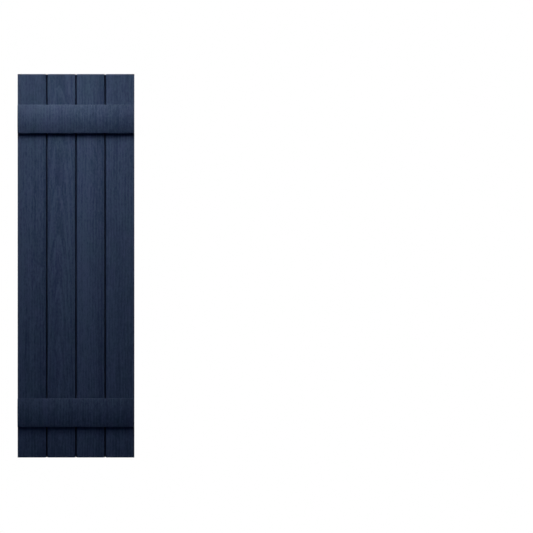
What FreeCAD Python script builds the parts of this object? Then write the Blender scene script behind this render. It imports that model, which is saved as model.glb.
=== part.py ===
"""Board and batten shutter: four upright boards held together by two crowned battens.

Lengths are millimetres. +Z is up and the front faces -Y. The origin is the middle of the
shutter's back, on the plane that lies against the wall.
"""

import FreeCAD
import Part
import os
import Sketcher
from FreeCAD import Vector

# Driving dimensions: alias, size in millimetres, what it measures
SIZES = (
    ("shutter_height", 1795, "height of every board"),
    ("board_width", 136.5, "width of one board, and the pitch at which they butt"),
    ("board_thickness", 19, "back of a board to its front face"),
    ("vee_width", 4.25, "how far the V of a joint cuts into each board's face"),
    ("vee_depth", 12, "depth of that V behind the face"),
    ("corner_round", 4.5, "radius of the corners at the two ends of a joint"),
    ("face_ease", 1, "radius round a board's face"),
    ("batten_height", 133, "height of one batten"),
    ("batten_inset", 144, "end of the boards to the near edge of a batten"),
    ("batten_edge", 12.5, "thickness of a batten along its top and bottom edges"),
    ("batten_crown", 7.5, "how far a batten's face swells between those edges"),
    ("batten_round", 1.5, "radius of a batten's front edges and end corners"),
)

# Sides of a board that meet another board, seen from the front
LEFT = -1
RIGHT = 1

# Boards from left to right with those sides, and battens with the side of mid-height that each lies on
BOARDS = (
    ("board_1", (RIGHT,)),
    ("board_2", (LEFT, RIGHT)),
    ("board_3", (LEFT, RIGHT)),
    ("board_4", (LEFT,)),
)
BATTENS = (("top_batten", 1), ("bottom_batten", -1))

# Sizes that follow from the driving ones
SHUTTER_WIDTH = f"({len(BOARDS)} * Sizes.board_width)"
BATTEN_MIDDLE = "(Sizes.shutter_height / 2 - Sizes.batten_inset - Sizes.batten_height / 2)"
CROWN_RADIUS = "(((Sizes.batten_height / 2)^2 + Sizes.batten_crown^2) / (2 * Sizes.batten_crown))"

# The sketcher's numbers for the origin point and the parts of a line or arc
ORIGIN = (-1, 1)
START = 1
END = 2
CENTRE = 3
HORIZONTAL_AXIS = -1

# An edge runs along an axis when this share of its direction does, and lies on a plane within this reach
ALONG = 0.999
TOUCH = 0.001


def make_sheet(doc):
    """Write the driving dimensions to the document's spreadsheet, one aliased cell each."""
    sheet = doc.addObject("Spreadsheet::Sheet", "Sizes")
    for row, (alias, size, meaning) in enumerate(SIZES, 1):
        sheet.set(f"A{row}", meaning)
        sheet.set(f"B{row}", str(size))
        sheet.setAlias(f"B{row}", alias)
    doc.recompute()
    return sheet


def new_body(doc, label):
    """Add an empty body that carries one piece of the shutter."""
    body = doc.addObject("PartDesign::Body", label)
    body.Label = label
    return body


def new_sketch(body, name, role):
    """Add a sketch to a body, lying on the origin plane with that role."""
    sketch = body.newObject("Sketcher::SketchObject", name)
    plane = next(part for part in body.Origin.OriginFeatures if part.Role == role)
    sketch.AttachmentSupport = (plane, "")
    sketch.MapMode = "FlatFace"
    return sketch


def bind(sketch, constraint, name, expression):
    """Add a dimension to a sketch and tie it to an expression of the sheet's cells."""
    index = sketch.addConstraint(constraint)
    sketch.renameConstraint(index, name)
    sketch.setExpression(f"Constraints.{name}", expression)


def join_ends(sketch):
    """Join the end of each of a sketch's edges to the start of the next, all the way round."""
    count = sketch.GeometryCount
    for edge in range(count):
        sketch.addConstraint(Sketcher.Constraint("Coincident", edge, END, (edge + 1) % count, START))


def draw_board_section(sketch, sheet, joints):
    """Draw a board's section: square, but sloped to the face on the sides where it has a joint."""
    side = sheet.board_width / 2
    rim = side - sheet.vee_width
    face = -sheet.board_thickness
    shoulder = face + sheet.vee_depth
    right_slope = [Vector(side, shoulder, 0), Vector(rim, face, 0)]
    left_slope = [Vector(-rim, face, 0), Vector(-side, shoulder, 0)]
    corners = [Vector(-side, 0, 0), Vector(side, 0, 0)]
    corners += right_slope if RIGHT in joints else [Vector(side, face, 0)]
    corners += left_slope if LEFT in joints else [Vector(-side, face, 0)]
    for corner, following in zip(corners, corners[1:] + corners[:1]):
        sketch.addGeometry(Part.LineSegment(corner, following))
    join_ends(sketch)
    back, right = 0, 1
    left = sketch.GeometryCount - 1
    front = right + 2 if RIGHT in joints else right + 1
    sketch.addConstraint(Sketcher.Constraint("Horizontal", back))
    sketch.addConstraint(Sketcher.Constraint("Horizontal", front))
    sketch.addConstraint(Sketcher.Constraint("Vertical", right))
    sketch.addConstraint(Sketcher.Constraint("Vertical", left))
    sketch.addConstraint(Sketcher.Constraint("Symmetric", back, START, back, END, *ORIGIN))
    bind(sketch, Sketcher.Constraint("DistanceX", back, START, back, END, 2 * side), "width",
         "Sizes.board_width")
    bind(sketch, Sketcher.Constraint("DistanceY", front, START, back, END, sheet.board_thickness),
         "thickness", "Sizes.board_thickness")
    if RIGHT in joints:
        size_slope(sketch, sheet, "right", right + 1, END, START)
    if LEFT in joints:
        size_slope(sketch, sheet, "left", left - 1, START, END)


def size_slope(sketch, sheet, name, slope, low, high):
    """Size one slope of a section, whose low end is on the face and whose high end is behind it."""
    bind(sketch, Sketcher.Constraint("DistanceX", slope, END, slope, START, sheet.vee_width),
         f"{name}_vee_width", "Sizes.vee_width")
    bind(sketch, Sketcher.Constraint("DistanceY", slope, low, slope, high, sheet.vee_depth),
         f"{name}_vee_depth", "Sizes.vee_depth")


def draw_crowned_section(sketch, sheet):
    """Draw a batten's end section: a flat back, two short edges and a face that bows forward."""
    half = sheet.batten_height / 2
    edge = sheet.batten_edge
    back_low = Vector(0, -half, 0)
    back_high = Vector(0, half, 0)
    front_high = Vector(-edge, half, 0)
    front_low = Vector(-edge, -half, 0)
    crest = Vector(-edge - sheet.batten_crown, 0, 0)
    sketch.addGeometry(Part.LineSegment(back_low, back_high))
    sketch.addGeometry(Part.LineSegment(back_high, front_high))
    sketch.addGeometry(Part.Arc(front_high, crest, front_low))
    sketch.addGeometry(Part.LineSegment(front_low, back_low))
    back, top, face, bottom = range(sketch.GeometryCount)
    join_ends(sketch)
    sketch.addConstraint(Sketcher.Constraint("Vertical", back))
    sketch.addConstraint(Sketcher.Constraint("Horizontal", top))
    sketch.addConstraint(Sketcher.Constraint("Horizontal", bottom))
    sketch.addConstraint(Sketcher.Constraint("Symmetric", back, START, back, END, *ORIGIN))
    sketch.addConstraint(Sketcher.Constraint("PointOnObject", face, CENTRE, HORIZONTAL_AXIS))
    bind(sketch, Sketcher.Constraint("DistanceY", back, START, back, END, 2 * half), "height",
         "Sizes.batten_height")
    bind(sketch, Sketcher.Constraint("DistanceX", top, END, top, START, edge), "edge",
         "Sizes.batten_edge")
    radius = (half**2 + sheet.batten_crown**2) / (2 * sheet.batten_crown)
    bind(sketch, Sketcher.Constraint("Radius", face, radius), "crown_radius", CROWN_RADIUS)


def at_joint_end(edge, joints):
    """Say whether an edge is in an end of a board, on a side where the board has a joint."""
    in_end = edge.BoundBox.ZLength < TOUCH
    runs_across = abs(edge.tangentAt(edge.FirstParameter).x) > ALONG
    side = RIGHT if edge.CenterOfMass.x > 0 else LEFT
    return in_end and not runs_across and side in joints


def on_rim(edge, front):
    """Say whether an edge goes round the front face."""
    return any(edge.isSame(rim) for rim in front.Edges)


def exposed(edge, front):
    """Say whether an edge goes round the front face or runs back from one of its corners."""
    runs_back = abs(edge.tangentAt(edge.FirstParameter).y) > ALONG
    return runs_back or on_rim(edge, front)


def ease(body, name, chosen, radius):
    """Round the edges of a body's last feature that a test picks, with a radius by expression."""
    body.Document.recompute()
    blank = body.Tip
    edges = blank.Shape.Edges
    front = min(blank.Shape.Faces, key=lambda face: face.CenterOfMass.y)
    names = [f"Edge{number}" for number, edge in enumerate(edges, 1) if chosen(edge, front)]
    fillet = body.newObject("PartDesign::Fillet", name)
    fillet.Base = (blank, names)
    fillet.setExpression("Radius", radius)


def make_board(doc, label, index, joints, sheet):
    """Make one upright board, the index counted from the left."""
    body = new_body(doc, label)
    section = new_sketch(body, "Section", "XY_Plane")
    draw_board_section(section, sheet, joints)
    blank = body.newObject("PartDesign::Pad", "Blank")
    blank.Profile = section
    blank.Midplane = True
    blank.setExpression("Length", "Sizes.shutter_height")
    ease(body, "RoundedCorners", lambda edge, front: at_joint_end(edge, joints), "Sizes.corner_round")
    ease(body, "EasedFace", on_rim, "Sizes.face_ease")
    from_middle = index - (len(BOARDS) - 1) / 2
    body.setExpression("Placement.Base.x", f"{from_middle} * Sizes.board_width")
    return body


def make_batten(doc, label, side, sheet):
    """Make one batten across the boards' fronts, above (1) or below (-1) mid-height."""
    body = new_body(doc, label)
    section = new_sketch(body, "Section", "YZ_Plane")
    draw_crowned_section(section, sheet)
    blank = body.newObject("PartDesign::Pad", "Blank")
    blank.Profile = section
    blank.Midplane = True
    blank.setExpression("Length", SHUTTER_WIDTH)
    ease(body, "EasedEdges", exposed, "Sizes.batten_round")
    body.setExpression("Placement.Base.y", "-Sizes.board_thickness")
    body.setExpression("Placement.Base.z", f"{side} * {BATTEN_MIDDLE}")
    return body


def check(doc, pieces):
    """Stop if any object failed to recompute or any piece isn't one valid solid."""
    for item in doc.Objects:
        if "Invalid" in item.State or "Error" in item.State:
            raise RuntimeError(f"{item.Label} failed to recompute: {item.State}")
    for piece in pieces:
        shape = piece.Shape
        if shape.isNull() or not shape.isValid() or len(shape.Solids) != 1:
            raise RuntimeError(f"{piece.Label} isn't one valid solid")


def main():
    """Build the shutter and write each piece to its own file."""
    doc = FreeCAD.newDocument("Shutter")
    sheet = make_sheet(doc)
    pieces = [make_board(doc, label, index, joints, sheet) for index, (label, joints) in enumerate(BOARDS)]
    pieces += [make_batten(doc, label, side, sheet) for label, side in BATTENS]
    doc.recompute()
    check(doc, pieces)
    os.makedirs("parts", exist_ok=True)
    for piece in pieces:
        piece.Shape.exportStep(f"parts/{piece.Label}.step")
        box = piece.Shape.BoundBox
        print(piece.Label, "volume", round(piece.Shape.Volume), box)


main()
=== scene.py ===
"""Dresses the board and batten shutter: pressed grain, satin coating, screws, studio and camera.

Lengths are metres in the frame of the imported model: +Z is up, the front faces -Y and the back lies
on Y = 0. Sizes written in millimetres are named so and multiplied by MM.
"""

import logging
import math
from dataclasses import dataclass
from enum import Enum, IntEnum
from typing import Any, Self

import bmesh
import bpy
from bmesh.types import BMEdge, BMesh, BMFace, BMVert
from bpy.types import Material, Node, NodeSocket, NodeTree, Object
from mathutils import Color, Matrix, Vector, noise


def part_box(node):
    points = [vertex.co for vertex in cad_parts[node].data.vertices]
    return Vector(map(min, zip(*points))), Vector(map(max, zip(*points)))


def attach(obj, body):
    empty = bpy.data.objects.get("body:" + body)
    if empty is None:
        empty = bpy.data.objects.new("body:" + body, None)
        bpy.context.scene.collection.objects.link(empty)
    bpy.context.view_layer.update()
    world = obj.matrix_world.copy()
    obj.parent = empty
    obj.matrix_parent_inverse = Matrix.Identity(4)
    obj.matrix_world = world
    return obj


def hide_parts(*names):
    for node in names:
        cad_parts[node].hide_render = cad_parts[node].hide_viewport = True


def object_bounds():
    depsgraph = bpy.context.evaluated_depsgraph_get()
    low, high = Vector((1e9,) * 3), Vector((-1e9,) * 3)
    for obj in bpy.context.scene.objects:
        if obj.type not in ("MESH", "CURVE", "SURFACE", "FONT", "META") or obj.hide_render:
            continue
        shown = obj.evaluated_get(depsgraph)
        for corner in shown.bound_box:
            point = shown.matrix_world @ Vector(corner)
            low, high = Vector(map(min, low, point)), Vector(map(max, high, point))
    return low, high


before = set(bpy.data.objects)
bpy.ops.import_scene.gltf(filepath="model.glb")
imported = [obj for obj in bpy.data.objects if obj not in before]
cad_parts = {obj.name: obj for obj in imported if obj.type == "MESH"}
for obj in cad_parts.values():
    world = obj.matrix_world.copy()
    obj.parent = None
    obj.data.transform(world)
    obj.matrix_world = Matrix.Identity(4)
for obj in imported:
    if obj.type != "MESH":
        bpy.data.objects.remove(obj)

CAD_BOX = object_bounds()
BODY = "root"
MM = 0.001
QUARTER_TURN = math.radians(90)
FULL_BYTE = 255
WHITE = "#ffffff"
LOG = logging.getLogger("shutter")

# Nodes of the model: boards from left to right, battens from the top down
BOARD_NODES = ("board_1", "board_2", "board_3", "board_4")
BATTEN_NODES = ("top_batten", "bottom_batten")

# Names of the point attributes that the meshes carry and the coating reads
RINGS = "rings"
ARRIS = "arris"
# Painted shade in the joints, which darkens the coating deeper into them
PAINTED_JOINT_SHADE = "joint_shade"

# An edge runs along an axis when this share of its direction does, and points meet within this reach
ALONG = 0.999
TOUCH = 0.01 * MM

# A face looks forward when this share of its normal does, and edges that turn less than this are smooth
FACES_FRONT = 0.9
SMOOTH_BELOW = math.radians(32)

# Number of edges that meet in a corner of a block
CORNER_EDGES = 3

# Power that turns the part of a ring into its height: slow in early wood, steep in late wood
LATE_WOOD = 3.0

# Steps along X, Y and Z, for each unit of a piece's turn, that set its pattern apart from the others'
APART = (7.0, 3.0, 5.0)


class Axis(IntEnum):
    """Axis of the model's frame, by its place in a vector."""

    X = 0
    Y = 1
    Z = 2


def linear(colour: str) -> tuple[float, float, float, float]:
    """Turn an sRGB hex colour into the linear RGBA that shader sockets take.

    Args:
        colour: Six hex digits after a hash.

    Returns:
        Linear red, green and blue, and an alpha of one.
    """
    written = Color([byte / FULL_BYTE for byte in bytes.fromhex(colour.removeprefix("#"))])
    return (*written.from_srgb_to_scene_linear(), 1.0)


def add_node(tree: NodeTree, kind: str, inputs: dict[str | int, Any], **settings: Any) -> Node:
    """Add a node to a tree, set it up and wire its inputs.

    Args:
        tree: Node tree of a material or the world.
        kind: Node type.
        inputs: Socket name or number, with the value it takes or the output that feeds it.
        settings: Properties of the node itself.

    Returns:
        The new node.
    """
    node = tree.nodes.new(kind)
    for name, value in settings.items():
        setattr(node, name, value)
    for name, value in inputs.items():
        if isinstance(value, NodeSocket):
            tree.links.new(value, node.inputs[name])
        else:
            node.inputs[name].default_value = value
    return node


def new_material(name: str) -> tuple[Material, NodeTree]:
    """Start a material with an empty node tree.

    Args:
        name: What the material is and how its surface was made.

    Returns:
        The material and its tree.
    """
    material = bpy.data.materials.new(name)
    material.use_nodes = True
    material.node_tree.nodes.clear()
    return material, material.node_tree


def runs_along(edge: BMEdge, axis: Axis) -> bool:
    """Say whether an edge is parallel to an axis."""
    direction = edge.verts[1].co - edge.verts[0].co
    return abs(direction[axis]) > ALONG * direction.length


def lies_at(edge: BMEdge, axis: Axis, place: float) -> bool:
    """Say whether both ends of an edge have that coordinate on an axis."""
    return all(abs(vert.co[axis] - place) < TOUCH for vert in edge.verts)


def add_attributes(mesh: BMesh) -> None:
    """Give a mesh the attributes that the coating reads, all at zero."""
    for attribute in (RINGS, ARRIS, PAINTED_JOINT_SHADE):
        mesh.verts.layers.float.new(attribute)


def bevel(mesh: BMesh, edges: list[BMEdge], round_mm: float, segments: int) -> None:
    """Round some edges of a mesh.

    Args:
        mesh: Mesh to change.
        edges: Edges that are rounded.
        round_mm: How far the rounding reaches from each edge.
        segments: Number of facets across the rounding.
    """
    bmesh.ops.bevel(mesh, geom=edges, offset=round_mm * MM, affect="EDGES", segments=segments,
                    profile=0.5, material=-1, clamp_overlap=True)


def draw_out(mesh: BMesh, face: BMFace, move: Vector, scale: float = 1.0) -> BMFace:
    """Extrude a face, which stays only where it closes the other end.

    Args:
        mesh: Mesh that the face belongs to.
        face: Face that is drawn out.
        move: Way that its new end goes.
        scale: Size of the new end, as a share of the old one's.

    Returns:
        The new end.
    """
    inside = all(len(edge.link_faces) > 1 for edge in face.edges)
    grown = bmesh.ops.extrude_face_region(mesh, geom=[face])["geom"]
    if inside:
        bmesh.ops.delete(mesh, geom=[face], context="FACES_ONLY")
    verts = [part for part in grown if isinstance(part, BMVert)]
    end = next(part for part in grown if isinstance(part, BMFace))
    bmesh.ops.translate(mesh, vec=move, verts=verts)
    middle = Matrix.Translation(-end.calc_center_median())
    bmesh.ops.scale(mesh, vec=(scale, scale, scale), space=middle, verts=verts)
    return end


def mark_arris(mesh: BMesh, front: float, reach_mm: float) -> None:
    """Mark the points of the rounding round a front, which lie on faces that look aside.

    Args:
        mesh: Mesh of the piece.
        front: Y of the piece's foremost point.
        reach_mm: How far behind that point the rounding ends.
    """
    arris = mesh.verts.layers.float[ARRIS]
    mesh.normal_update()
    for vert in mesh.verts:
        if vert.co.y < front + reach_mm * MM + TOUCH:
            vert[arris] = float(any(face.normal.y > -FACES_FRONT for face in vert.link_faces))


@dataclass(frozen=True)
class Extent:
    """Box that a node of the model fills at rest."""

    low: Vector
    high: Vector

    @classmethod
    def of(cls, node: str) -> Self:
        """Read the box of a node."""
        return cls(*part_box(node))

    @property
    def size(self) -> Vector:
        """Lengths of the box along X, Y and Z."""
        return self.high - self.low

    @property
    def middle(self) -> Vector:
        """Middle of the box."""
        return (self.low + self.high) / 2

    def grid_block(self, columns: int, rows: int) -> BMesh:
        """Fill the box with a closed block.

        Args:
            columns: Number of parts that the block is cut into along X.
            rows: Number of parts along Z.

        Returns:
            The block, with one layer of faces from front to back.
        """
        block = bmesh.new()
        bmesh.ops.create_cube(block, size=1.0)
        bmesh.ops.scale(block, vec=self.size, verts=block.verts)
        bmesh.ops.translate(block, vec=self.middle, verts=block.verts)
        for axis, parts in ((Axis.X, columns), (Axis.Z, rows)):
            rungs = [edge for edge in block.edges if runs_along(edge, axis)]
            bmesh.ops.subdivide_edges(block, edges=rungs, cuts=parts - 1, use_grid_fill=True)
        return block


def slice_at(mesh: BMesh, axis: Axis, place: float) -> None:
    """Slice a mesh along a plane without opening it.

    Args:
        mesh: Mesh to slice.
        axis: Axis that the plane is square to.
        place: Where the plane crosses that axis.
    """
    way = Vector((0.0, 0.0, 0.0))
    way[axis] = 1.0
    whole = [*mesh.verts, *mesh.edges, *mesh.faces]
    bmesh.ops.bisect_plane(mesh, geom=whole, plane_co=way * place, plane_no=way)


def cut_evenly(mesh: BMesh, extent: Extent, axis: Axis, parts: int) -> None:
    """Slice a mesh into even parts without opening it.

    Args:
        mesh: Mesh to slice.
        extent: Box of the mesh.
        axis: Direction along which the parts follow each other.
        parts: Number of parts.
    """
    for part in range(1, parts):
        slice_at(mesh, axis, extent.low[axis] + extent.size[axis] * part / parts)


@dataclass(frozen=True)
class Log:
    """Where the pith of the copied log runs behind a face, in millimetres and degrees."""

    aside_mm: float
    behind_mm: float
    lean_deg: float


class Figure(Enum):
    """Drawing of the pressed grain, by the way the copied board was sawn."""

    CATHEDRAL = Log(aside_mm=-14, behind_mm=46, lean_deg=3.2)
    STRAIGHT = Log(aside_mm=240, behind_mm=60, lean_deg=0.5)


@dataclass(frozen=True)
class Grain:
    """Woodgrain pressed into the face of a piece."""

    figure: Figure
    turn: float
    ring_mm: float = 13.0
    relief_mm: float = 0.2
    # How far the rings wander aside, and the width and length over which they do
    wander_mm: float = 9.0
    wander_width_mm: float = 105.0
    wander_length_mm: float = 420.0

    def rings(self, aside: float, up: float) -> float:
        """Count the year rings from the pith to a point of the face.

        Args:
            aside: Distance from the middle of the face, along X.
            up: Distance from the middle of the face, along Z.

        Returns:
            Number of rings, with the part of the last one.
        """
        log = self.figure.value
        across, along = aside / (self.wander_width_mm * MM), up / (self.wander_length_mm * MM)
        drift = noise.noise(Vector((across, self.turn, along))) * self.wander_mm * MM
        behind = log.behind_mm * MM + math.tan(math.radians(log.lean_deg)) * up
        radius = math.hypot(aside - log.aside_mm * MM + drift, behind)
        return radius / (self.ring_mm * MM) + self.turn

    def press(self, mesh: BMesh, extent: Extent) -> None:
        """Cut the grain into the front of a piece and keep the ring count as an attribute.

        Args:
            mesh: Mesh of the piece, with its arrises marked.
            extent: Box of the piece.
        """
        rings = mesh.verts.layers.float[RINGS]
        arris = mesh.verts.layers.float[ARRIS]
        mesh.normal_update()
        for vert in mesh.verts:
            vert[rings] = self.rings(vert.co.x - extent.middle.x, vert.co.z - extent.middle.z)
            if vert.normal.y < -FACES_FRONT and vert[arris] == 0.0:
                height = (vert[rings] % 1.0) ** LATE_WOOD
                vert.co.y += (1 - height) * self.relief_mm * MM


@dataclass(frozen=True)
class Tone:
    """Lightness of a piece at its left and right edges, as an addition to the mix of its two colours."""

    left: float = 0.0
    right: float = 0.0


@dataclass(frozen=True)
class Unevenness:
    """One layer of the coating's unevenness, a noise drawn out along the boards.

    The weight is what the noise, from 0 to 1, adds to the mix of the coating's two colours. A band
    turns the noise into marks: nothing below the band's start, and a full mark from its end on.
    """

    width_mm: float
    length_mm: float
    weight: float
    detail: float
    mean: float = 0.5
    band: tuple[float, float] | None = None

    def spread(self, tree: NodeTree, place: NodeSocket, turn: float) -> NodeSocket:
        """Add the noise to a material.

        Args:
            tree: Tree of the material.
            place: Output that gives the point of the surface.
            turn: Number that moves the pattern to a part of its own.

        Returns:
            Output from 0 to 1.
        """
        across, along = 1 / (self.width_mm * MM), 1 / (self.length_mm * MM)
        drawn = add_node(tree, "ShaderNodeMapping", {
            "Vector": place,
            "Location": [turn * step for step in APART],
            "Scale": (across, across, along),
        })
        soft = add_node(tree, "ShaderNodeTexNoise", {
            "Vector": drawn.outputs["Vector"], "Scale": 1.0, "Detail": self.detail,
        }).outputs["Fac"]
        if self.band is None:
            return soft
        start, end = self.band
        return add_node(tree, "ShaderNodeMapRange", {
            "Value": soft, "From Min": start, "From Max": end,
        }, interpolation_type="SMOOTHSTEP").outputs["Result"]


@dataclass(frozen=True)
class Patterns:
    """Outputs, each from 0 to 1, that make one piece's coating uneven."""

    late_wood: NodeSocket
    pores: NodeSocket
    fibres: NodeSocket
    mottle: NodeSocket
    streaks: NodeSocket
    clouds: NodeSocket


@dataclass(frozen=True)
class SatinCoating:
    """Satin navy coating on cellular PVC boards with a woodgrain pressed into them.

    The eye sees a dark blue with soft streaks along the grain and a fine mottle between greenish and
    violet, a low sheen that the pores break up, arrises where the coating is a little thinner and
    paler, and painted shade in the joints that darkens the deeper it goes.
    """

    shade: str = "#0d192d"
    light: str = "#39455a"
    greenish: str = "#1b3442"
    violet: str = "#292e4f"
    rubbed: str = "#283650"
    # Nearly black painted shade, mixed in deeper into the joints
    joint_shade_colour: str = "#000a22"
    # Share of the light colour, on average, in a piece without a tone of its own
    mean_light: float = 0.5
    ior: float = 1.5
    specular: float = 0.15
    roughness: tuple[float, float] = (0.55, 0.75)
    # Stretch of the fibres' noise over which the gloss changes
    gloss_band: tuple[float, float] = (0.3, 0.7)
    pores: Unevenness = Unevenness(
        width_mm=0.9, length_mm=18.0, weight=-1.2, detail=1.0, mean=0.15, band=(0.55, 0.65),
    )
    # Real fibres are a tenth of this; they are drawn as coarse as they need to be to show
    fibres: Unevenness = Unevenness(width_mm=5.0, length_mm=45.0, weight=1.7, detail=5.0)
    mottle: Unevenness = Unevenness(width_mm=9.0, length_mm=12.0, weight=1.5, detail=3.0)
    streaks: Unevenness = Unevenness(width_mm=26.0, length_mm=900.0, weight=1.3, detail=2.0)
    tint: Unevenness = Unevenness(width_mm=60.0, length_mm=110.0, weight=0.55, detail=4.0)
    ring_weight: float = 0.5
    ring_fray: float = 0.25
    pore_depth_mm: float = 0.12

    def patterns(self, tree: NodeTree, place: NodeSocket, turn: float) -> Patterns:
        """Spread the coating's unevenness over a piece.

        Args:
            tree: Tree of the material.
            place: Output that gives the point of the surface.
            turn: Number that sets the piece's pattern apart from the others'.

        Returns:
            The patterns, with the rings frayed by the fibres and the pores in early wood only.
        """
        pores, fibres, mottle, streaks, clouds = (
            layer.spread(tree, place, turn)
            for layer in (self.pores, self.fibres, self.mottle, self.streaks, self.tint)
        )
        rings = add_node(tree, "ShaderNodeAttribute", {}, attribute_name=RINGS).outputs["Fac"]
        frayed = add_node(tree, "ShaderNodeMath", {0: fibres, 1: self.ring_fray, 2: rings},
                          operation="MULTIPLY_ADD").outputs["Value"]
        part = add_node(tree, "ShaderNodeMath", {0: frayed}, operation="FRACT").outputs["Value"]
        late = add_node(tree, "ShaderNodeMath", {0: part, 1: LATE_WOOD},
                        operation="POWER").outputs["Value"]
        early = add_node(tree, "ShaderNodeMath", {0: 1.0, 1: late},
                         operation="SUBTRACT").outputs["Value"]
        early_pores = add_node(tree, "ShaderNodeMath", {0: pores, 1: early},
                               operation="MULTIPLY").outputs["Value"]
        return Patterns(late, early_pores, fibres, mottle, streaks, clouds)

    def lightness(self, tree: NodeTree, across: NodeSocket, patterns: Patterns, extent: Extent,
                  tone: Tone) -> NodeSocket:
        """Add up what makes the coating lighter or darker.

        Args:
            tree: Tree of the material.
            across: Output that gives the X of the surface.
            patterns: The piece's patterns.
            extent: Box of the piece, which the tone runs across.
            tone: Lightness of the piece at its two edges.

        Returns:
            Share of the light colour, from 0 to 1.
        """
        layers = (
            (patterns.late_wood, self.ring_weight, 1 / (LATE_WOOD + 1)),
            (patterns.pores, self.pores.weight, self.pores.mean),
            (patterns.fibres, self.fibres.weight, self.fibres.mean),
            (patterns.mottle, self.mottle.weight, self.mottle.mean),
            (patterns.streaks, self.streaks.weight, self.streaks.mean),
        )
        level = self.mean_light - sum(weight * mean for _, weight, mean in layers)
        amount = add_node(tree, "ShaderNodeMapRange", {
            "Value": across, "From Min": extent.low.x, "From Max": extent.high.x,
            "To Min": level + tone.left, "To Max": level + tone.right,
        }).outputs["Result"]
        for pattern, weight, _ in layers:
            amount = add_node(tree, "ShaderNodeMath", {0: pattern, 1: weight, 2: amount},
                              operation="MULTIPLY_ADD").outputs["Value"]
        return add_node(tree, "ShaderNodeClamp", {"Value": amount}).outputs["Result"]

    def colour(self, tree: NodeTree, patterns: Patterns, lightness: NodeSocket) -> NodeSocket:
        """Mix the coating's colours.

        Args:
            tree: Tree of the material.
            patterns: The piece's patterns.
            lightness: Share of the light colour.

        Returns:
            Colour of the surface, paler on the arrises and with painted shade darkening the joints.
        """
        arris, joint_shade = (
            add_node(tree, "ShaderNodeAttribute", {}, attribute_name=attribute).outputs["Fac"]
            for attribute in (ARRIS, PAINTED_JOINT_SHADE)
        )
        mixed = add_node(tree, "ShaderNodeMix", {
            "Factor": lightness, "A": linear(self.shade), "B": linear(self.light),
        }, data_type="RGBA").outputs["Result"]
        tint = add_node(tree, "ShaderNodeMix", {
            "Factor": patterns.clouds, "A": linear(self.greenish), "B": linear(self.violet),
        }, data_type="RGBA").outputs["Result"]
        wear = add_node(tree, "ShaderNodeMath", {0: arris, 1: patterns.fibres},
                        operation="MULTIPLY").outputs["Value"]
        over = (
            (self.tint.weight, tint),
            (wear, linear(self.rubbed)),
            # Painted shade, darker the deeper into a joint
            (joint_shade, linear(self.joint_shade_colour)),
        )
        for share, other in over:
            mixed = add_node(tree, "ShaderNodeMix", {"Factor": share, "A": mixed, "B": other},
                             data_type="RGBA").outputs["Result"]
        return mixed

    def material(self, name: str, extent: Extent, tone: Tone, turn: float) -> Material:
        """Make the coating for one piece.

        Args:
            name: Name of the piece.
            extent: Box of the piece, which the tone runs across.
            tone: Lightness of the piece at its two edges.
            turn: Number that sets the piece's pattern apart from the others'.

        Returns:
            The material.
        """
        material, tree = new_material(f"satin_coated_pressed_pvc_{name}")
        place = add_node(tree, "ShaderNodeTexCoord", {}).outputs["Object"]
        across = add_node(tree, "ShaderNodeSeparateXYZ", {"Vector": place}).outputs["X"]
        patterns = self.patterns(tree, place, turn)
        lightness = self.lightness(tree, across, patterns, extent, tone)
        smooth, rough = self.roughness
        start, end = self.gloss_band
        gloss = add_node(tree, "ShaderNodeMapRange", {
            "Value": patterns.fibres, "From Min": start, "From Max": end,
            "To Min": rough, "To Max": smooth,
        })
        height = add_node(tree, "ShaderNodeMath", {0: patterns.fibres, 1: patterns.pores},
                          operation="SUBTRACT").outputs["Value"]
        relief = add_node(tree, "ShaderNodeBump", {
            "Height": height, "Distance": self.pore_depth_mm * MM, "Strength": 1.0,
        })
        surface = add_node(tree, "ShaderNodeBsdfPrincipled", {
            "Base Color": self.colour(tree, patterns, lightness),
            "Roughness": gloss.outputs["Result"],
            "Normal": relief.outputs["Normal"],
            "IOR": self.ior,
            "Specular IOR Level": self.specular,
        })
        add_node(tree, "ShaderNodeOutputMaterial", {"Surface": surface.outputs["BSDF"]})
        return material


@dataclass(frozen=True)
class TurnedStainless:
    """Bare stainless steel, turned.

    The eye sees a bright grey metal whose gloss the tool's marks break up finely.
    """

    colour: str = "#b4b6b8"
    roughness: tuple[float, float] = (0.24, 0.42)
    tool_mark_mm: float = 0.6
    detail: float = 3.0

    def material(self) -> Material:
        """Make the steel of the screws.

        Returns:
            The material.
        """
        material, tree = new_material("turned_stainless_steel")
        place = add_node(tree, "ShaderNodeTexCoord", {}).outputs["Object"]
        marks = add_node(tree, "ShaderNodeTexNoise", {
            "Vector": place, "Scale": 1 / (self.tool_mark_mm * MM), "Detail": self.detail,
        })
        smooth, rough = self.roughness
        gloss = add_node(tree, "ShaderNodeMapRange", {
            "Value": marks.outputs["Fac"], "To Min": smooth, "To Max": rough,
        })
        surface = add_node(tree, "ShaderNodeBsdfPrincipled", {
            "Base Color": linear(self.colour), "Metallic": 1.0, "Roughness": gloss.outputs["Result"],
        })
        add_node(tree, "ShaderNodeOutputMaterial", {"Surface": surface.outputs["BSDF"]})
        return material


def new_object(name: str, mesh: BMesh) -> Object:
    """Put a bmesh into the scene as an object at the origin.

    Args:
        name: Name of the object.
        mesh: Finished mesh, which is freed.

    Returns:
        The object.
    """
    data = bpy.data.meshes.new(name)
    mesh.to_mesh(data)
    mesh.free()
    made = bpy.data.objects.new(name, data)
    bpy.context.scene.collection.objects.link(made)
    return made


def finish_piece(name: str, mesh: BMesh, material: Material) -> Object:
    """Turn a bmesh into a piece of the shutter that rides with it.

    Args:
        name: Name of the piece.
        mesh: Finished mesh, which is freed.
        material: What the piece is covered with.

    Returns:
        The piece.
    """
    piece = new_object(name, mesh)
    piece.data.materials.append(material)
    piece.data.shade_smooth()
    piece.data.set_sharp_from_angle(angle=SMOOTH_BELOW)
    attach(piece, BODY)
    return piece


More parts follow.
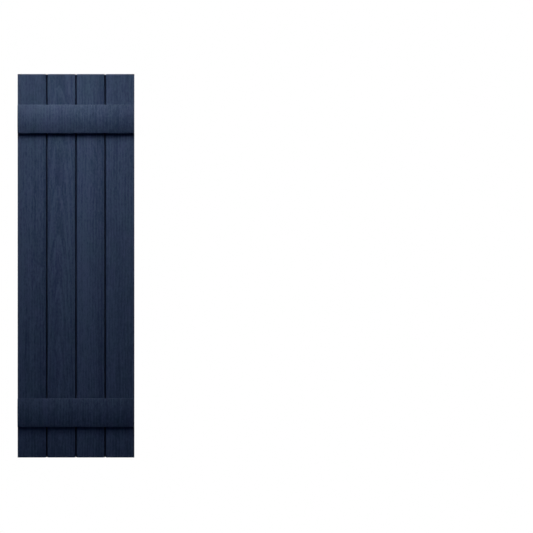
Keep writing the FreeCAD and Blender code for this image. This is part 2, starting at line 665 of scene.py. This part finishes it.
def cut_out(mesh: BMesh, shapes: BMesh) -> BMesh:
    """Cut closed shapes out of a closed mesh.

    Args:
        mesh: Mesh that is cut, which is freed.
        shapes: What is cut out of it, which is freed too.

    Returns:
        What is left.
    """
    blank, cutter = new_object("blank", mesh), new_object("cutter", shapes)
    modifier = blank.modifiers.new("cut", "BOOLEAN")
    modifier.operation = "DIFFERENCE"
    modifier.solver = "EXACT"
    modifier.object = cutter
    graph = bpy.context.evaluated_depsgraph_get()
    cut = bpy.data.meshes.new_from_object(blank.evaluated_get(graph))
    left = bmesh.new()
    left.from_mesh(cut)
    for data in (cut, blank.data, cutter.data):
        bpy.data.meshes.remove(data)
    return left


@dataclass
class Boards:
    """Four upright boards that butt edge to edge in V joints."""

    nodes: tuple[str, ...] = BOARD_NODES
    # Width that a V takes from each of its two boards, and its depth
    vee_width_mm: float = 4.25
    vee_depth_mm: float = 12.0
    # Depth in a joint from which its painted shade is full
    full_shade_mm: float = 2.5
    # Width on each board of the painted shade, a dark line, along a tight joint on the back
    seam_shade_mm: float = 1.8
    corner_round_mm: float = 4.5
    face_ease_mm: float = 1.0
    columns: int = 28
    rows: int = 170
    corner_segments: int = 5
    ease_segments: int = 2
    coating: SatinCoating = SatinCoating()
    grains: tuple[Grain, ...] = (
        Grain(Figure.STRAIGHT, turn=0.13),
        Grain(Figure.CATHEDRAL, turn=0.71),
        Grain(Figure.STRAIGHT, turn=1.37),
        Grain(Figure.STRAIGHT, turn=2.09),
    )
    tones: tuple[Tone, ...] = (
        Tone(left=0.46, right=-0.32),
        Tone(left=0.0, right=0.0),
        Tone(left=0.42, right=-0.34),
        Tone(left=0.0, right=0.05),
    )

    def joints(self, index: int, extent: Extent) -> list[float]:
        """Find the sides of a board that meet another board.

        Args:
            index: Place of the board, counted from the left.
            extent: Box of the board.

        Returns:
            X of each of those sides.
        """
        sides = []
        if index > 0:
            sides.append(extent.low.x)
        if index < len(self.nodes) - 1:
            sides.append(extent.high.x)
        return sides

    def section(self, joints: list[float], extent: Extent) -> list[tuple[float, float]]:
        """Work out a board's section.

        Args:
            joints: X of the sides that meet another board.
            extent: Box of the board.

        Returns:
            Corners in X and Y, from the back left one, by the right side, round to the left.
        """
        low, high = extent.low, extent.high
        shoulder = low.y + self.vee_depth_mm * MM
        cut = self.vee_width_mm * MM
        corners = [(low.x, high.y), (high.x, high.y)]
        if high.x in joints:
            corners += [(high.x, shoulder), (high.x - cut, low.y)]
        else:
            corners += [(high.x, low.y)]
        if low.x in joints:
            corners += [(low.x + cut, low.y), (low.x, shoulder)]
        else:
            corners += [(low.x, low.y)]
        return corners

    @staticmethod
    def beside(vert: BMVert, joints: list[float], reach_mm: float) -> bool:
        """Say whether a point lies within some reach of a joint, along X."""
        return any(abs(vert.co.x - joint) < reach_mm * MM + TOUCH for joint in joints)

    def joint_corners(self, board: BMesh, joints: list[float], extent: Extent) -> list[BMEdge]:
        """Find the edges at both ends of the joints, whose corners are rounded.

        Args:
            board: Mesh of the board, before it is sliced.
            joints: X of the sides that meet another board.
            extent: Box of the board.

        Returns:
            The edges.
        """
        corners = []
        for edge in board.edges:
            in_end = any(lies_at(edge, Axis.Z, end) for end in (extent.low.z, extent.high.z))
            by_joint = self.beside(edge.verts[0], joints, self.vee_width_mm)
            if in_end and by_joint and not runs_along(edge, Axis.X):
                corners.append(edge)
        return corners

    def slice_up(self, board: BMesh, joints: list[float], extent: Extent) -> None:
        """Slice a board into a grid that can take the grain, and where the painted shade of its joints
        changes.

        Args:
            board: Mesh of the board.
            joints: X of the sides that meet another board.
            extent: Box of the board.
        """
        for axis, parts in ((Axis.X, self.columns), (Axis.Z, self.rows)):
            cut_evenly(board, extent, axis, parts)
        slice_at(board, Axis.Y, extent.low.y + self.full_shade_mm * MM)
        for joint in joints:
            inwards = math.copysign(self.seam_shade_mm * MM, extent.middle.x - joint)
            slice_at(board, Axis.X, joint + inwards)

    def mark_joint_shade(self, board: BMesh, joints: list[float], extent: Extent) -> None:
        """Mark painted shade at each point, deeper into the joints and along their seams on the back.

        Args:
            board: Mesh of the board, with its attributes.
            joints: X of the sides that meet another board.
            extent: Box of the board.
        """
        joint_shade = board.verts.layers.float[PAINTED_JOINT_SHADE]
        for vert in board.verts:
            on_back = vert.co.y > extent.high.y - TOUCH
            if self.beside(vert, joints, 0.0 if on_back else self.vee_width_mm):
                # Painted shade: none at the face, full from the set depth on
                vert[joint_shade] = min((vert.co.y - extent.low.y) / (self.full_shade_mm * MM), 1.0)

    def build(self, joints: list[float], extent: Extent, holes: BMesh) -> BMesh:
        """Shape one board.

        Args:
            joints: X of the sides that meet another board.
            extent: Box of the board.
            holes: What the screws take out of it.

        Returns:
            The board's mesh.
        """
        board = bmesh.new()
        foot = [board.verts.new((x, y, extent.low.z)) for x, y in self.section(joints, extent)]
        draw_out(board, board.faces.new(foot), Vector((0, 0, extent.size.z)))
        bmesh.ops.recalc_face_normals(board, faces=board.faces)
        corners = self.joint_corners(board, joints, extent)
        bevel(board, corners, self.corner_round_mm, self.corner_segments)
        face = min(board.faces, key=lambda side: side.calc_center_median().y)
        bevel(board, list(face.edges), self.face_ease_mm, self.ease_segments)
        self.slice_up(board, joints, extent)
        board = cut_out(board, holes)
        add_attributes(board)
        mark_arris(board, extent.low.y, self.face_ease_mm)
        self.mark_joint_shade(board, joints, extent)
        return board

    def dress(self, screws: "Screws") -> list[Object]:
        """Build, grain and coat every board, and countersink it for its screws.

        Args:
            screws: The screws that go through the boards.

        Returns:
            The boards, left to right.
        """
        pieces = []
        for index, (node, grain, tone) in enumerate(zip(self.nodes, self.grains, self.tones)):
            extent = Extent.of(node)
            mesh = self.build(self.joints(index, extent), extent, screws.countersinks(node))
            grain.press(mesh, extent)
            material = self.coating.material(node, extent, tone, grain.turn)
            piece = finish_piece(f"pressed_{node}", mesh, material)
            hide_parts(node)
            pieces.append(piece)
        return pieces


@dataclass
class Battens:
    """Two battens with crowned faces across the fronts of the boards."""

    nodes: tuple[str, ...] = BATTEN_NODES
    crown_mm: float = 7.5
    ease_mm: float = 1.5
    columns: int = 110
    rows: int = 26
    ease_segments: int = 3
    coating: SatinCoating = SatinCoating()
    grains: tuple[Grain, ...] = (
        Grain(Figure.STRAIGHT, turn=3.31),
        Grain(Figure.STRAIGHT, turn=4.57),
    )
    tone: Tone = Tone(left=0.22, right=-0.26)

    @staticmethod
    def rims(batten: BMesh, front: set[BMVert]) -> list[BMEdge]:
        """Find the edges that are eased.

        Args:
            batten: Mesh of the batten.
            front: Points of its front.

        Returns:
            The edges round the front and those that run back from its corners.
        """
        rims = []
        for edge in batten.edges:
            inside = sum(all(vert in front for vert in side.verts) for side in edge.link_faces)
            at_corner = len(edge.verts[0].link_edges) == CORNER_EDGES
            if inside == 1 or (at_corner and runs_along(edge, Axis.Y)):
                rims.append(edge)
        return rims

    def build(self, extent: Extent) -> BMesh:
        """Shape one batten.

        Args:
            extent: Box of the batten.

        Returns:
            The batten's mesh.
        """
        batten = extent.grid_block(self.columns, self.rows)
        half = extent.size.z / 2
        crown = self.crown_mm * MM
        radius = (half ** 2 + crown ** 2) / (2 * crown)
        front = {vert for vert in batten.verts if abs(vert.co.y - extent.low.y) < TOUCH}
        rims = self.rims(batten, front)
        for vert in front:
            vert.co.y += radius - math.sqrt(radius ** 2 - (vert.co.z - extent.middle.z) ** 2)
        bevel(batten, rims, self.ease_mm, self.ease_segments)
        add_attributes(batten)
        mark_arris(batten, extent.low.y, self.crown_mm + self.ease_mm)
        return batten

    def dress(self) -> list[Object]:
        """Build, grain and coat both battens.

        Returns:
            The battens, top one first.
        """
        pieces = []
        for node, grain in zip(self.nodes, self.grains):
            extent = Extent.of(node)
            mesh = self.build(extent)
            grain.press(mesh, extent)
            material = self.coating.material(node, extent, self.tone, grain.turn)
            piece = finish_piece(f"crowned_{node}", mesh, material)
            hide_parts(node)
            pieces.append(piece)
        return pieces


@dataclass
class Screws:
    """Countersunk stainless screws, two through each board into each batten, driven from behind."""

    boards: tuple[str, ...] = BOARD_NODES
    battens: tuple[str, ...] = BATTEN_NODES
    head_mm: float = 8.6
    shank_mm: float = 4.2
    length_mm: float = 32.0
    point_mm: float = 6.0
    # Width of the point's tip, as a share of the shank's
    tip_share: float = 0.2
    countersink_deg: float = 82.0
    sunk_mm: float = 0.4
    clearance_mm: float = 0.15
    drive_mm: float = 3.2
    drive_depth_mm: float = 1.9
    # Width of the drive's floor, as a share of its mouth's
    drive_taper: float = 0.85
    # Distance of a screw from the middle of its board, and from the middle of its batten
    aside_mm: float = 34.0
    up_mm: float = 33.0
    segments: int = 28
    steel: TurnedStainless = TurnedStainless()

    def places(self, board: str, batten: str) -> list[Vector]:
        """Work out where the screws enter where a board crosses a batten.

        Args:
            board: Node of the board.
            batten: Node of the batten.

        Returns:
            Points on the back of the board, one high at lower X and one low at higher X.
        """
        over, across = Extent.of(board), Extent.of(batten)
        middle = Vector((over.middle.x, over.high.y, across.middle.z))
        step = Vector((-self.aside_mm, 0, self.up_mm)) * MM
        return [middle + step, middle - step]

    def cone(self, mesh: BMesh, place: Vector, rise_mm: float, spare_mm: float = 0.0) -> list[BMVert]:
        """Add the cone of a countersink, which is the shape of a screw's head too.

        Args:
            mesh: Mesh that gets the cone.
            place: Point on the back of the board.
            rise_mm: How far the wide end stands out of the back.
            spare_mm: How much wider than the head the cone is all round.

        Returns:
            The cone's points.
        """
        flare = math.tan(math.radians(self.countersink_deg / 2))
        wide = self.head_mm / 2 + spare_mm + (rise_mm + self.sunk_mm) * flare
        narrow = self.shank_mm / 2
        depth = (wide - narrow) / flare
        turned = Matrix.Rotation(QUARTER_TURN, 4, "X")
        middle = Matrix.Translation(place + Vector((0, rise_mm - depth / 2, 0)) * MM)
        made = bmesh.ops.create_cone(mesh, cap_ends=True, segments=self.segments, radius1=wide * MM,
                                     radius2=narrow * MM, depth=depth * MM, matrix=middle @ turned)
        return made["verts"]

    def countersinks(self, board: str) -> BMesh:
        """Make the cones that are cut out of the back of a board.

        Args:
            board: Node of the board.

        Returns:
            The cones, in one mesh.
        """
        cutter = bmesh.new()
        for batten in self.battens:
            for place in self.places(board, batten):
                self.cone(cutter, place, self.sunk_mm, self.clearance_mm)
        return cutter

    def screw(self, mesh: BMesh, place: Vector) -> None:
        """Add one screw.

        Args:
            mesh: Mesh that gets the screw.
            place: Point on the back of the board.
        """
        head = self.cone(mesh, place, -self.sunk_mm)
        caps = {face for vert in head for face in vert.link_faces if len(face.verts) == self.segments}
        under, top = sorted(caps, key=lambda face: face.calc_center_median().y)
        height = top.calc_center_median().y - under.calc_center_median().y
        shaft = (self.length_mm - self.point_mm) * MM - height
        shank = draw_out(mesh, under, Vector((0, -shaft, 0)))
        draw_out(mesh, shank, Vector((0, -self.point_mm * MM, 0)), scale=self.tip_share)
        self.sink_drive(mesh, top, place)

    def sink_drive(self, mesh: BMesh, top: BMFace, place: Vector) -> None:
        """Sink a square drive into the head of a screw.

        Args:
            mesh: Mesh of the screws.
            top: Face of the head.
            place: Point on the back of the board.
        """
        rim = (self.head_mm - self.drive_mm * math.sqrt(2)) / 2
        bmesh.ops.inset_region(mesh, faces=[top], thickness=rim * MM, use_even_offset=True)
        half = self.drive_mm * MM / 2
        for vert in top.verts:
            out = vert.co - place
            reach = max(abs(out.x), abs(out.z))
            vert.co.x = place.x + out.x * half / reach
            vert.co.z = place.z + out.z * half / reach
        draw_out(mesh, top, Vector((0, -self.drive_depth_mm * MM, 0)), scale=self.drive_taper)

    def dress(self) -> list[Object]:
        """Build the screws, one piece for each batten.

        Returns:
            The screws of the top batten, then those of the bottom one.
        """
        material = self.steel.material()
        pieces = []
        for batten in self.battens:
            mesh = bmesh.new()
            for board in self.boards:
                for place in self.places(board, batten):
                    self.screw(mesh, place)
            bmesh.ops.recalc_face_normals(mesh, faces=mesh.faces)
            pieces.append(finish_piece(f"screws_{batten}", mesh, material))
        return pieces


def seen_share(tree: NodeTree) -> NodeSocket:
    """Tell the rays that show a surround from those that light the shutter with it.

    Args:
        tree: Tree of the floor's material or the world.

    Returns:
        Output that is one for camera, glossy and transmitted rays, and zero for the others.
    """
    rays = add_node(tree, "ShaderNodeLightPath", {}).outputs
    seen = rays["Is Camera Ray"]
    for kind in ("Is Glossy Ray", "Is Transmission Ray"):
        seen = add_node(tree, "ShaderNodeMath", {0: seen, 1: rays[kind]},
                        operation="MAXIMUM").outputs["Value"]
    return seen


@dataclass(frozen=True)
class FloorPaint:
    """Matt paint, rolled on the floor.

    The eye sees a near white with the shutter's soft shadow on it.
    """

    colour: str = "#f2f2f0"
    # Share of plain white in what is seen of the floor; the rest is paint, which takes the shadow
    glow: float = 0.75

    def material(self) -> Material:
        """Make the paint of the floor.

        Returns:
            The material.
        """
        material, tree = new_material("pale_painted_floor")
        paint = add_node(tree, "ShaderNodeBsdfDiffuse", {"Color": linear(self.colour)})
        white = add_node(tree, "ShaderNodeEmission", {"Color": linear(WHITE), "Strength": 1.0})
        share = add_node(tree, "ShaderNodeMath", {0: seen_share(tree), 1: self.glow},
                         operation="MULTIPLY")
        mixed = add_node(tree, "ShaderNodeMixShader", {
            0: share.outputs["Value"], 1: paint.outputs["BSDF"], 2: white.outputs["Emission"],
        })
        add_node(tree, "ShaderNodeOutputMaterial", {"Surface": mixed.outputs["Shader"]})
        return material


@dataclass(frozen=True)
class BlackFelt:
    """Black felt, pressed on a card, which gives the sheen next to nothing to show."""

    colour: str = "#050505"

    def material(self) -> Material:
        """Make the felt of the card.

        Returns:
            The material.
        """
        material, tree = new_material("black_felt_card")
        felt = add_node(tree, "ShaderNodeBsdfDiffuse", {"Color": linear(self.colour)})
        add_node(tree, "ShaderNodeOutputMaterial", {"Surface": felt.outputs["BSDF"]})
        return material


class Light(Enum):
    """Colour of a lamp's light."""

    COOL = "#ebf2ff"
    WARM = "#fffcf7"
    PLAIN = WHITE


@dataclass(frozen=True)
class Panel:
    """One soft lamp, seen from the shutter: raised, and turned to the right from straight ahead.

    A grid over the lamp narrows its beam, and one that is aimed above the shutter fades down it.
    """

    elevation_deg: float
    distance: float
    beam_deg: float
    watts: float
    turn_deg: float = 0.0
    aim: float = 0.0
    light: Light = Light.PLAIN

    @property
    def place(self) -> Vector:
        """Work out where the lamp stands.

        Returns:
            The middle of the lamp.
        """
        turn, rise = math.radians(self.turn_deg), math.radians(self.elevation_deg)
        level = Vector((math.sin(turn), -math.cos(turn), 0.0)) * math.cos(rise)
        return (level + Vector((0.0, 0.0, math.sin(rise)))) * self.distance

    @property
    def towards(self) -> Vector:
        """Direction in which the lamp points."""
        return Vector((0.0, 0.0, self.aim)) - self.place


@dataclass
class Studio:
    """Pale floor, white surround, soft lamps high in front and behind, and the camera."""

    floor_drop: float = 0.6
    floor_radius: float = 2.2
    floor_segments: int = 96
    paint: FloorPaint = FloorPaint()
    # Half the width and height of the dark card, and the place of its middle
    card_half: tuple[float, float] = (30.0, 14.0)
    card_place: tuple[float, float, float] = (0.0, -6.0, -2.0)
    felt: BlackFelt = BlackFelt()
    lens_mm: float = 300.0
    # Side of the square picture, measured on the fronts of the boards, and the X and Z of its middle
    picture_side: float = 2.4947
    aim: tuple[float, float] = (0.8919, -0.0033)
    # How far the camera sees, in times its distance from the boards
    sight: float = 10.0
    panels: tuple[Panel, ...] = (
        Panel(elevation_deg=42.0, distance=12.0, beam_deg=60.0, watts=9.8, light=Light.COOL),
        Panel(elevation_deg=50.0, distance=12.0, beam_deg=60.0, watts=26.0, light=Light.COOL),
        Panel(elevation_deg=57.0, distance=8.0, beam_deg=15.0, watts=2.4, aim=1.2, light=Light.WARM),
        Panel(elevation_deg=65.0, distance=8.0, beam_deg=13.0, watts=5.0, aim=1.2, light=Light.WARM),
        Panel(elevation_deg=73.0, distance=8.0, beam_deg=10.0, watts=3.4, aim=1.2, light=Light.WARM),
        Panel(elevation_deg=35.0, distance=4.6, beam_deg=60.0, watts=18.0, turn_deg=125.0),
        Panel(elevation_deg=35.0, distance=4.6, beam_deg=60.0, watts=18.0, turn_deg=-125.0),
    )
    panel_size: tuple[float, float] = (0.9, 1.04)
    # Strength and colour of the surround where it lights the shutter
    fill: float = 0.08
    fill_colour: str = "#5a9bff"

    def hang_lamps(self) -> None:
        """Hang the soft lamps."""
        for panel in self.panels:
            lamp = bpy.data.lights.new("soft_panel", "AREA")
            lamp.shape = "RECTANGLE"
            lamp.size, lamp.size_y = self.panel_size
            lamp.spread = math.radians(panel.beam_deg)
            lamp.energy = panel.watts
            lamp.color = linear(panel.light.value)[:3]
            stand = bpy.data.objects.new("soft_panel", lamp)
            stand.location = panel.place
            stand.rotation_euler = panel.towards.to_track_quat("-Z", "Y").to_euler()
            stand.visible_camera = False
            bpy.context.scene.collection.objects.link(stand)

    def set_surround(self) -> None:
        """Set a surround that is seen white and lights the shutter faintly."""
        world = bpy.data.worlds.new("white_surround")
        world.use_nodes = True
        tree = world.node_tree
        tree.nodes.clear()
        seen = seen_share(tree)
        strength = add_node(tree, "ShaderNodeMapRange", {
            "Value": seen, "To Min": self.fill, "To Max": 1.0,
        })
        colour = add_node(tree, "ShaderNodeMix", {
            "Factor": seen, "A": linear(self.fill_colour), "B": linear(WHITE),
        }, data_type="RGBA")
        glow = add_node(tree, "ShaderNodeBackground", {
            "Color": colour.outputs["Result"], "Strength": strength.outputs["Result"],
        })
        add_node(tree, "ShaderNodeOutputWorld", {"Surface": glow.outputs["Background"]})
        bpy.context.scene.world = world

    def stand_card(self) -> None:
        """Stand a dark card before the front, unseen, which keeps the white surround off the sheen."""
        card = bmesh.new()
        bmesh.ops.create_grid(card, x_segments=1, y_segments=1, size=1.0)
        bmesh.ops.scale(card, vec=(*self.card_half, 1.0), verts=card.verts)
        bmesh.ops.rotate(card, matrix=Matrix.Rotation(QUARTER_TURN, 3, "X"), verts=card.verts)
        bmesh.ops.translate(card, vec=self.card_place, verts=card.verts)
        piece = new_object("dark_card", card)
        piece.data.materials.append(self.felt.material())
        piece.visible_camera = False
        piece.visible_diffuse = False
        piece.visible_shadow = False
        piece.visible_transmission = False

    def lay_floor(self) -> None:
        """Lay a pale round floor below the shutter."""
        disc = bmesh.new()
        bmesh.ops.create_circle(disc, cap_ends=True, segments=self.floor_segments,
                                radius=self.floor_radius)
        bmesh.ops.translate(disc, vec=(0.0, 0.0, CAD_BOX[0].z - self.floor_drop), verts=disc.verts)
        piece = new_object("pale_floor", disc)
        piece.data.materials.append(self.paint.material())
        piece.visible_diffuse = False

    def set_camera(self) -> None:
        """Set up the camera square to the front, far off behind a long lens."""
        data = bpy.data.cameras.new("long_lens")
        data.lens = self.lens_mm
        distance = self.picture_side * self.lens_mm / data.sensor_width
        data.clip_end = self.sight * distance
        camera = bpy.data.objects.new("long_lens", data)
        aside, up = self.aim
        front = Extent.of(BOARD_NODES[0]).low.y
        camera.location = (aside, front - distance, up)
        camera.rotation_euler = (QUARTER_TURN, 0.0, 0.0)
        bpy.context.scene.collection.objects.link(camera)
        bpy.context.scene.camera = camera


def main() -> None:
    """Build the shutter's pieces in order, then the studio."""
    logging.basicConfig(level=logging.INFO, format="%(name)s: %(message)s")
    screws = Screws()
    for piece in (*Boards().dress(screws), *Battens().dress(), *screws.dress()):
        LOG.info("%s has %d faces", piece.name, len(piece.data.polygons))
    studio = Studio()
    studio.hang_lamps()
    studio.set_surround()
    studio.stand_card()
    studio.lay_floor()
    studio.set_camera()
    bpy.context.scene.view_settings.view_transform = "Standard"


if __name__ == "__main__":
    main()
